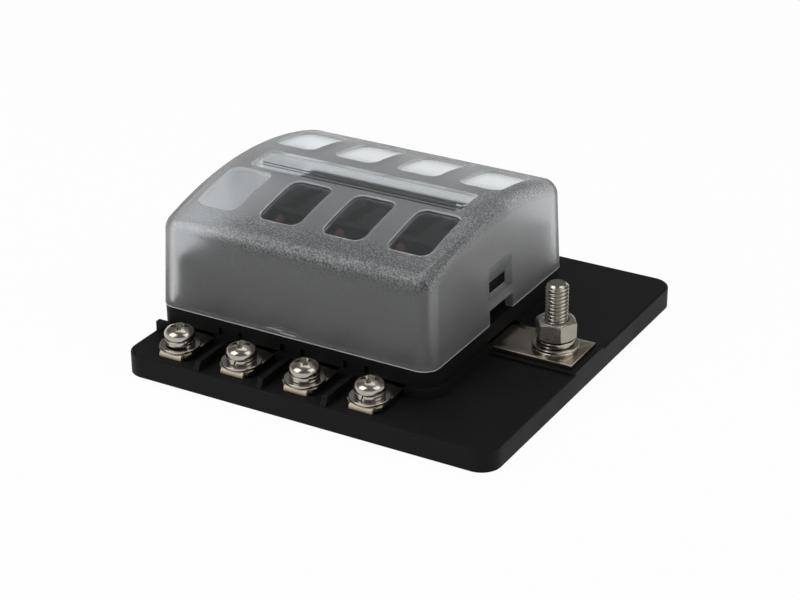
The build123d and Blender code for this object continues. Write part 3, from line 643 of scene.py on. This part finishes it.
def threaded_mesh(name, low, high, crest, root, pitch, tip, end_chamfers, steps=48, rounding=4):
    """A right-hand rolled thread between two heights, with a chamfer at either end."""
    phases = []
    for k in range(rounding):
        phase = (k + 0.5) / rounding
        phases.append((phase, root + (crest - root) * (1 - math.cos(math.tau * phase)) / 2))
    vertices = []
    count = 0
    for turn in range(-1, math.ceil((high - low) / pitch) + 2):
        for phase, radius in phases:
            count += 1
            for j in range(steps):
                height = low + pitch * (turn + phase + j / steps)
                reach = radius
                if height <= low:
                    height, reach = low, tip
                elif height >= high:
                    height, reach = high, tip
                near_low = max(0.0, low + end_chamfers[0] - height)
                near_high = max(0.0, height - (high - end_chamfers[1]))
                reach = min(reach, crest - near_low, crest - near_high)
                vertices.append(round_point(reach, math.tau * j / steps, height))
    faces = []
    for m in range(count - 1):
        for j in range(steps):
            if j < steps - 1:
                right, above_right = m * steps + j + 1, (m + 1) * steps + j + 1
            elif m + 1 + rounding < count:
                right, above_right = (m + rounding) * steps, (m + 1 + rounding) * steps
            else:
                continue
            faces.append((m * steps + j, right, above_right, (m + 1) * steps + j))
    for height, chamfer in ((low, end_chamfers[0]), (high, end_chamfers[1])):
        reach = min(tip, crest - chamfer)
        hub = len(vertices)
        vertices.append((0.0, 0.0, height))
        vertices.extend(round_point(reach, math.tau * j / steps, height) for j in range(steps))
        faces.extend((hub, hub + 1 + j, hub + 1 + (j + 1) % steps) for j in range(steps))
    return finish_mesh(name, vertices, faces, THREAD_SHARP_ANGLE)


def cross_cutter(top):
    """The tapered point of a cross-recess driver."""
    vertices = []
    for share, height in ((1.0, top + CROSS_ABOVE), (CROSS_FOOT, top - CROSS_DEPTH)):
        arm, half, web = CROSS_HALF_LENGTH * share, CROSS_HALF_WIDTH * math.sqrt(share), CROSS_WEB * share
        for quarter in range(4):
            turn = Matrix.Rotation(quarter * math.tau / 4, 3, "Z")
            for x, y in ((arm, -half), (arm, half), (web, half), (half, web)):
                vertices.append(turn @ Vector((x, y, height)))
    ring = len(vertices) // 2
    faces = grid_faces(2, ring)
    faces.append(tuple(range(ring)))
    faces.append(tuple(range(ring, 2 * ring)))
    return finish_mesh("cross_cutter", vertices, faces)


def cut_mesh(mesh, cutter):
    """A mesh with a cutter taken out of it."""
    blank = bpy.data.objects.new("blank", mesh)
    tool = bpy.data.objects.new("tool", cutter)
    for item in (blank, tool):
        bpy.context.scene.collection.objects.link(item)
    cut = blank.modifiers.new("cut", "BOOLEAN")
    cut.operation = "DIFFERENCE"
    cut.solver = "EXACT"
    cut.object = tool
    seen = blank.evaluated_get(bpy.context.evaluated_depsgraph_get())
    result = bpy.data.meshes.new_from_object(seen)
    bpy.data.objects.remove(blank)
    bpy.data.objects.remove(tool)
    return result


def screw_mesh(length):
    """Pan head screw with a cross recess and a thread, seated at height 0."""
    crown_height = HEAD_DOME_HEIGHT - HEAD_SIDE - HEAD_SHOULDER
    crown_half = HEAD_RADIUS - HEAD_SHOULDER
    meet = 90 - 2 * math.degrees(math.atan(crown_height / crown_half))
    sphere = crown_half / math.cos(math.radians(meet)) + HEAD_SHOULDER
    under = (HEAD_RADIUS - HEAD_UNDER_ROUND, HEAD_UNDER_ROUND)
    profile = [(0.0, 0.0)]
    profile += arc_points(under, HEAD_UNDER_ROUND, -90, 0, steps=4)
    profile += arc_points((crown_half, HEAD_SIDE), HEAD_SHOULDER, 0, meet, steps=10)
    profile += arc_points((0.0, HEAD_DOME_HEIGHT - sphere), sphere, meet, 90, steps=12)
    head = cut_mesh(turned_mesh("screw_head", profile), cross_cutter(HEAD_DOME_HEIGHT))
    thread = threaded_mesh(
        "screw_thread",
        low=-length,
        high=SHELL_OVERLAP,
        crest=SCREW_CREST,
        root=SCREW_ROOT,
        pitch=SCREW_PITCH,
        tip=SCREW_ROOT,
        end_chamfers=(SCREW_TIP, 0.0),
    )
    return joined_mesh("screw", head, thread)


def ring_section(inner, outer, high, groove=0.0):
    """The rounded section of a washer from height 0, with an optional groove round its rim."""
    corner = WASHER_ROUND
    section = arc_points((outer - corner, corner), corner, -90, 0, steps=4)
    if groove:
        section += [(outer, high / 2 - groove), (outer - groove, high / 2), (outer, high / 2 + groove)]
    section += arc_points((outer - corner, high - corner), corner, 0, 90, steps=4)
    section += arc_points((inner + corner, high - corner), corner, 90, 180, steps=4)
    section += arc_points((inner + corner, corner), corner, 180, 270, steps=4)
    return section


def ring_mesh(name, section, slit=0.0, slit_at=0.0, rise=0.0, slant=0.0, steps=96):
    """A washer swept from its section, closed, or split and rising from one end to the other."""
    outer = max(radius for radius, _ in section)
    middle = sum(height for _, height in section) / len(section)
    start = math.radians(slit_at) + slit / outer / 2
    sweep = math.tau - slit / outer
    count = steps + 1 if slit else steps
    vertices = []
    for i in range(count):
        share = i / steps
        for radius, height in section:
            angle = start + sweep * share + slant * (height - middle) / outer
            vertices.append(round_point(radius, angle, height + rise * share))
    width = len(section)
    faces = grid_faces(count, width, rows_closed=not slit)
    if slit:
        faces.append(tuple(range(width)))
        faces.append(tuple(range((count - 1) * width, count * width)))
    return finish_mesh(name, vertices, faces)


def hexagon_rounding():
    """Where the rounded hexagon's corner arcs have their centres, and the angle at which they end."""
    centre = (NUT_APOTHEM - NUT_EDGE) / math.cos(HEXAGON_HALF)
    tangent_height = NUT_EDGE * math.sin(HEXAGON_HALF)
    return centre, math.atan2(tangent_height, centre + NUT_EDGE * math.cos(HEXAGON_HALF))


def hexagon_radius(offset):
    """Reach of the rounded hexagon at an angle from its nearest corner."""
    centre, tangent = hexagon_rounding()
    if abs(offset) <= tangent:
        across = centre * math.sin(offset)
        return centre * math.cos(offset) + math.sqrt(NUT_EDGE**2 - across**2)
    return NUT_APOTHEM / math.cos(HEXAGON_HALF - abs(offset))


def nut_mesh(height):
    """Hexagon nut with one cone at either face, seated at height 0."""
    _, tangent = hexagon_rounding()
    offsets = [tangent * k / 3 for k in range(-3, 4)]
    offsets += [tangent + 2 * (HEXAGON_HALF - tangent) * k / 10 for k in range(1, 10)]
    spokes = []
    for corner in range(6):
        for offset in offsets:
            nearest = offset if offset <= HEXAGON_HALF else offset - 2 * HEXAGON_HALF
            spokes.append((math.radians(NUT_TURN + 60 * corner) + offset, hexagon_radius(nearest)))

    bore = ((NUT_BORE, NUT_LEAD), (NUT_BORE, height - NUT_LEAD))
    top = ((NUT_BORE + NUT_LEAD, height), (NUT_CROWN - NUT_SOFT, height), (NUT_CROWN, height - NUT_DIP))
    foot = ((NUT_CROWN, NUT_DIP), (NUT_CROWN - NUT_SOFT, 0.0), (NUT_BORE + NUT_LEAD, 0.0))
    rows = [[point] * len(spokes) for point in bore + top]
    for side in (1, -1):
        band = []
        for inward, down in ((1.0, -NUT_SLOPE), (0.3, 0.0), (0.0, 0.9)):
            row = []
            for _, reach in spokes:
                drop = (reach - NUT_CROWN) * NUT_SLOPE + NUT_DIP + down * NUT_SOFT
                row.append((reach - inward * NUT_SOFT, height - drop if side == 1 else drop))
            band.append(row)
        rows += band[::side]
    rows += [[point] * len(spokes) for point in foot]

    vertices = []
    for row in rows:
        for (angle, _), (radius, z) in zip(spokes, row):
            vertices.append(round_point(radius, angle, z))
    return finish_mesh("nut", vertices, grid_faces(len(rows), len(spokes), rows_closed=True))


def seat_of(node_name):
    """The middle of a round node's footprint at its lowest height, and its height and radius."""
    low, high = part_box(node_name)
    centre = Vector(((low.x + high.x) / 2, (low.y + high.y) / 2, low.z))
    return centre, high.z - low.z, (high.x - low.x) / 2


def make_terminal_fasteners():
    """Screws, split lock washers and flat washers of the eight terminals."""
    _, height, _ = seat_of("terminal_screw_front_1")
    screw = screw_mesh(height - HEAD_HEIGHT)
    for side in SIDES:
        for column in COLUMNS:
            name = f"{side}_{column}"
            lift = LOCK_EXTRA[side][column - 1] * MM
            centre, height, _ = seat_of(f"terminal_screw_{name}")
            seat = centre + Vector((0, 0, height - HEAD_HEIGHT + lift))
            turn = SCREW_TURNS[side][column - 1]
            stand_for(f"terminal_screw_{name}", f"screw_{name}", screw, seat, turn)

            centre, height, radius = seat_of(f"lock_washer_{name}")
            lock = ring_mesh(
                f"lock_washer_{name}_formed",
                ring_section(WASHER_BORE, radius + LOCK_SPREAD, LOCK_HEIGHT),
                slit=LOCK_SLIT,
                slit_at=LOCK_SLITS_AT[side][column - 1],
                rise=height + lift - LOCK_HEIGHT,
                slant=LOCK_SLANT,
            )
            stand_for(f"lock_washer_{name}", f"screw_{name}_washers", lock, centre)

            centre, height, radius = seat_of(f"flat_washer_{name}")
            flat = ring_mesh(f"flat_washer_{name}_formed", ring_section(WASHER_BORE, radius, height))
            stand_for(f"flat_washer_{name}", f"screw_{name}_washers", flat, centre)


def make_input_fasteners():
    """Input stud, nut and washers."""
    centre, height, _ = seat_of("input_stud")
    centre.z += height
    head_top = STUD_HEAD_HEIGHT - height
    thread = threaded_mesh(
        "stud_thread",
        low=head_top - SHELL_OVERLAP,
        high=0.0,
        crest=STUD_CREST,
        root=STUD_ROOT,
        pitch=STUD_PITCH,
        tip=STUD_CREST,
        end_chamfers=(0.0, STUD_CHAMFER),
        steps=72,
        rounding=STUD_ROUNDING,
    )
    disc = turned_mesh(
        "stud_head",
        [(0.0, -height), (STUD_HEAD_RADIUS, -height), (STUD_HEAD_RADIUS, head_top), (0.0, head_top)],
    )
    stud = joined_mesh("input_stud", thread, disc, sharp=THREAD_SHARP_ANGLE)
    stand_for("input_stud", "housing", stud, centre)

    centre, height, _ = seat_of("input_nut")
    stand_for("input_nut", "nut", nut_mesh(height), centre, finish="satin_steel")

    centre, height, radius = seat_of("input_lock_washer")
    lock = ring_mesh(
        "input_lock",
        ring_section(INPUT_WASHER_BORE, radius, height * INPUT_LOCK_SECTION),
        slit=LOCK_SLIT,
        slit_at=INPUT_LOCK_SLIT_AT,
        rise=height * (1 - INPUT_LOCK_SECTION),
        slant=LOCK_SLANT,
    )
    stand_for("input_lock_washer", "nut_washers", lock, centre)

    centre, height, radius = seat_of("input_flat_washer")
    flat = ring_mesh("input_flat", ring_section(INPUT_WASHER_BORE, radius, height, RIM_GROOVE))
    stand_for("input_flat_washer", "nut_washers", flat, centre)


def direction(azimuth, elevation):
    """The unit vector from the part at an azimuth and an elevation in radians."""
    level = math.cos(elevation)
    return Vector((math.sin(azimuth) * level, -math.cos(azimuth) * level, math.sin(elevation)))


def place_camera():
    """The photograph's view, from its azimuth, elevation, roll and distance."""
    roll = math.radians(CAMERA_ROLL)
    back = direction(math.radians(CAMERA_AZIMUTH), math.radians(CAMERA_ELEVATION))
    right = Vector((0, 0, 1)).cross(back).normalized()
    up = back.cross(right)
    rolled_right = right * math.cos(roll) + up * math.sin(roll)
    rolled_up = up * math.cos(roll) - right * math.sin(roll)
    turn = Matrix((rolled_right, rolled_up, back)).transposed().to_4x4()
    data = bpy.data.cameras.new("camera")
    data.lens = CAMERA_LENS
    data.sensor_width = CAMERA_SENSOR
    data.clip_start = CAMERA_NEAR
    data.clip_end = CAMERA_FAR
    camera = bpy.data.objects.new("camera", data)
    camera.matrix_world = Matrix.Translation(CAMERA_TARGET + back * CAMERA_DISTANCE) @ turn
    bpy.context.scene.collection.objects.link(camera)
    bpy.context.scene.camera = camera


def area_light(name, azimuth, elevation, reach, size, power):
    """A soft box that faces the middle of the part."""
    data = bpy.data.lights.new(name, "AREA")
    data.shape = "RECTANGLE"
    data.size, data.size_y = size
    data.energy = power
    lamp = bpy.data.objects.new(name, data)
    way = direction(math.radians(azimuth), math.radians(elevation))
    lamp.location = way * reach
    lamp.rotation_mode = "QUATERNION"
    lamp.rotation_quaternion = way.to_track_quat("Z", "Y")
    bpy.context.scene.collection.objects.link(lamp)


def floor_material():
    """Pale floor that camera, glossy and transmitted rays see as white, with the part's shadow."""
    made = bpy.data.materials.new("floor")
    tree = cleared_tree(made)
    path = node(tree, "ShaderNodeLightPath").outputs
    direct = calc(tree, "MAXIMUM", path["Is Camera Ray"], path["Is Glossy Ray"])
    seen = calc(tree, "MAXIMUM", direct, path["Is Transmission Ray"])
    matt = node(tree, "ShaderNodeBsdfDiffuse", {"Color": FLOOR_COLOUR})
    glow = node(tree, "ShaderNodeEmission", {"Color": WHITE, "Strength": 1.0})
    mix = node(tree, "ShaderNodeMixShader", {"Fac": product(tree, seen, FLOOR_GLOW)})
    tree.links.new(matt.outputs[0], mix.inputs[1])
    tree.links.new(glow.outputs[0], mix.inputs[2])
    out = node(tree, "ShaderNodeOutputMaterial")
    tree.links.new(mix.outputs[0], out.inputs["Surface"])
    return made


def studio():
    """Pale floor, a room that is white round the horizon and darker above, and the soft boxes."""
    corners = [(x * FLOOR_HALF, y * FLOOR_HALF, 0) for x, y in ((-1, -1), (1, -1), (1, 1), (-1, 1))]
    mesh = bpy.data.meshes.new("floor")
    mesh.from_pydata(corners, [], [(0, 1, 2, 3)])
    floor = bpy.data.objects.new("floor", mesh)
    bpy.context.scene.collection.objects.link(floor)
    mesh.materials.append(floor_material())

    world = bpy.data.worlds.new("studio")
    bpy.context.scene.world = world
    tree = cleared_tree(world)
    way = node(tree, "ShaderNodeTexCoord").outputs["Generated"]
    rise = node(tree, "ShaderNodeSeparateXYZ", {"Vector": way}).outputs["Z"]
    room = node(tree, "ShaderNodeBackground", {"Color": WHITE})
    tree.links.new(remap(tree, rise, *HORIZON, 1.0, ROOM_ABOVE), room.inputs["Strength"])
    out = node(tree, "ShaderNodeOutputWorld")
    tree.links.new(room.outputs[0], out.inputs["Surface"])

    for name, settings in SOFT_BOXES.items():
        area_light(name, *settings)


dress_nodes()
make_terminal_fasteners()
make_input_fasteners()
place_camera()
studio()
bpy.context.scene.view_settings.view_transform = "Standard"
